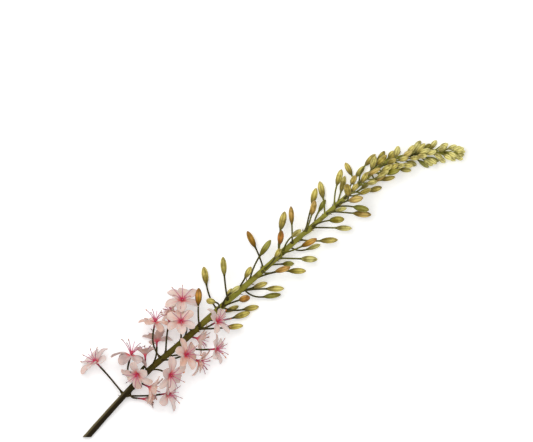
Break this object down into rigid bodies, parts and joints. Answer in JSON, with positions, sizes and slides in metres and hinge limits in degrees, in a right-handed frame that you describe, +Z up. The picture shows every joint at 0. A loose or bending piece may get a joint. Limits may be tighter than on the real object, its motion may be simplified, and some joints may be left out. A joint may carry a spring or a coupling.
{
  "type": "foxtail lily flower",
  "caption": "Cut foxtail lily flower spike lying down: curved stem, pale pink open blooms near its cut end and stalked buds up to a dense tip.",
  "frame": {"origin": "on the surface that the spike lies on, under the middle of its bounding box", "axes": "+X from the cut end of the stem towards its tip, +Z up from the surface, +Y completes a right-handed frame and points to the side that the tip's arch bulges to"},
  "size_m": [0.4781, 0.0993, 0.0688],
  "materials": {
    "stem_green": "satin",
    "tepal_pink": "matte",
    "stamen_rose": "matte"
  },
  "bodies": {
    "root": {"raceme": "stem_green", "bloom_01_tepals": "tepal_pink", "bloom_01_stamens": "stamen_rose", "bloom_02_tepals": "tepal_pink", "bloom_02_stamens": "stamen_rose", "bloom_03_tepals": "tepal_pink", "bloom_03_stamens": "stamen_rose", "bloom_04_tepals": "tepal_pink", "bloom_04_stamens": "stamen_rose", "bloom_05_tepals": "tepal_pink", "bloom_05_stamens": "stamen_rose", "bloom_06_tepals": "tepal_pink", "bloom_06_stamens": "stamen_rose", "bloom_07_tepals": "tepal_pink", "bloom_07_stamens": "stamen_rose", "bloom_08_tepals": "tepal_pink", "bloom_08_stamens": "stamen_rose", "bloom_09_tepals": "tepal_pink", "bloom_09_stamens": "stamen_rose", "bloom_10_tepals": "tepal_pink", "bloom_10_stamens": "stamen_rose", "bloom_11_tepals": "tepal_pink", "bloom_11_stamens": "stamen_rose", "bloom_12_tepals": "tepal_pink", "bloom_12_stamens": "stamen_rose", "bloom_13_tepals": "tepal_pink", "bloom_13_stamens": "stamen_rose", "bloom_14_tepals": "tepal_pink", "bloom_14_stamens": "stamen_rose", "bloom_15_tepals": "tepal_pink", "bloom_15_stamens": "stamen_rose", "bloom_16_tepals": "tepal_pink", "bloom_16_stamens": "stamen_rose", "bloom_17_tepals": "tepal_pink", "bloom_17_stamens": "stamen_rose", "bloom_18_tepals": "tepal_pink", "bloom_18_stamens": "stamen_rose", "bloom_19_tepals": "tepal_pink", "bloom_19_stamens": "stamen_rose"}
  },
  "joints": []
}
